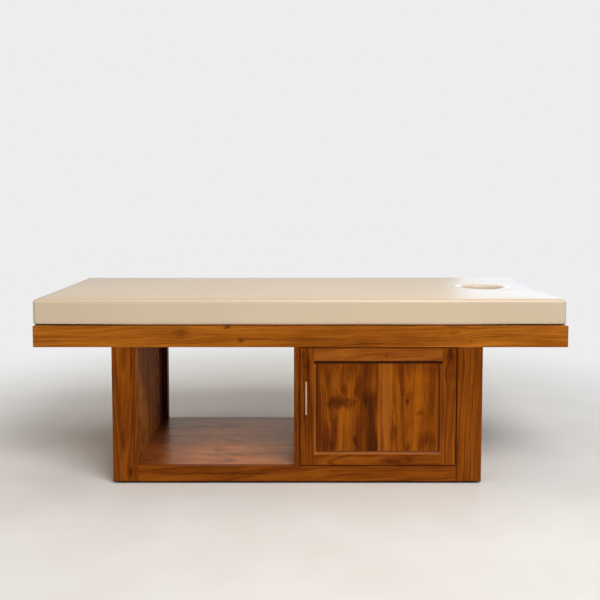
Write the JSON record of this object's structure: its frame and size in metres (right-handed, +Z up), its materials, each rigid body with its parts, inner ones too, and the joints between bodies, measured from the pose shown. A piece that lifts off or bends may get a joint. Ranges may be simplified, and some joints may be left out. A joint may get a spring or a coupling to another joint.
{
  "type": "spa bed",
  "caption": "Teak spa bed: padded top with a round face hole on a box base that has an open bay and a cabinet with a hinged door.",
  "frame": {"origin": "on the floor under the middle of the base, on the underside of the middle glide", "axes": "+X along the bed to the head end with the face hole and the cabinet, -Y out of the front where the door is, +Z up"},
  "size_m": [2.0015, 0.8335, 0.7015],
  "materials": {
    "teak_top": "satin lacquer over golden teak",
    "teak_frame": "satin lacquer over teak",
    "teak_boards": "gloss lacquer over teak",
    "teak_door": "satin lacquer over teak",
    "teak_panel": "satin lacquer over dark figured teak",
    "rough_wood": "planed, not lacquered",
    "plywood": "plain plywood",
    "cover_vinyl": "woven-look vinyl, satin",
    "foam": "open-cell foam",
    "satin_steel": "brushed",
    "dark_bronze": "darkened, satin",
    "zinc_steel": "zinc plated",
    "black_nylon": "matte",
    "brown_plastic": "matte",
    "magnet": "bare ferrite"
  },
  "bodies": {
    "bed": {"apron_back": "teak_top", "apron_foot": "teak_top", "apron_front": "teak_top", "apron_head": "teak_top", "back_cleat": "rough_wood", "back_ledgers": "rough_wood", "cabinet_back": "teak_boards", "catch_body": "brown_plastic", "catch_magnet": "magnet", "catch_screws": "zinc_steel", "corner_blocks": "rough_wood", "corner_screws": "zinc_steel", "cross_bearers": "rough_wood", "cushion_base_board": "plywood", "cushion_cover": "cover_vinyl", "cushion_foam": "foam", "divider": "teak_frame", "floor_boards": "teak_boards", "floor_ledgers": "rough_wood", "foot_ledger": "rough_wood", "front_bottom_rail": "teak_frame", "front_ledgers": "rough_wood", "front_post_foot": "teak_frame", "front_post_head": "teak_frame", "glides": "black_nylon", "head_ledger": "rough_wood", "hinge_leaves_post": "dark_bronze", "hinge_pins": "dark_bronze", "hinge_screws_post": "zinc_steel", "lining_boards_foot": "teak_boards", "lining_boards_head": "teak_boards", "middle_bearer": "rough_wood", "platform_head_panel": "plywood", "platform_panel": "plywood", "rear_bottom_rail": "teak_frame", "rear_post_foot": "teak_frame", "rear_post_head": "teak_frame", "rear_top_rail": "teak_frame", "side_bearer_foot": "rough_wood", "side_bearer_head": "rough_wood", "side_boards_foot": "teak_boards", "side_boards_head": "teak_boards", "top_bolts": "zinc_steel", "wall_battens_foot": "rough_wood", "wall_battens_head": "rough_wood"},
    "door": {"door_beads": "teak_door", "door_bottom_rail": "teak_door", "door_hinge_stile": "teak_door", "door_latch_stile": "teak_door", "door_panel_board_hinge_side": "teak_panel", "door_panel_board_latch_side": "teak_panel", "door_top_rail": "teak_door", "handle_bar": "satin_steel", "handle_posts": "satin_steel", "handle_screws": "zinc_steel", "hinge_leaves_door": "dark_bronze", "hinge_screws_door": "zinc_steel", "strike_plate": "zinc_steel", "strike_screw": "zinc_steel"}
  },
  "joints": [
    {"name": "door_hinge", "type": "hinge", "parent": "bed", "child": "door", "pos_m": [0.59875, -0.3277, 0.294], "axis": [0, 0, 1], "range_deg": [0, 170]}
  ]
}
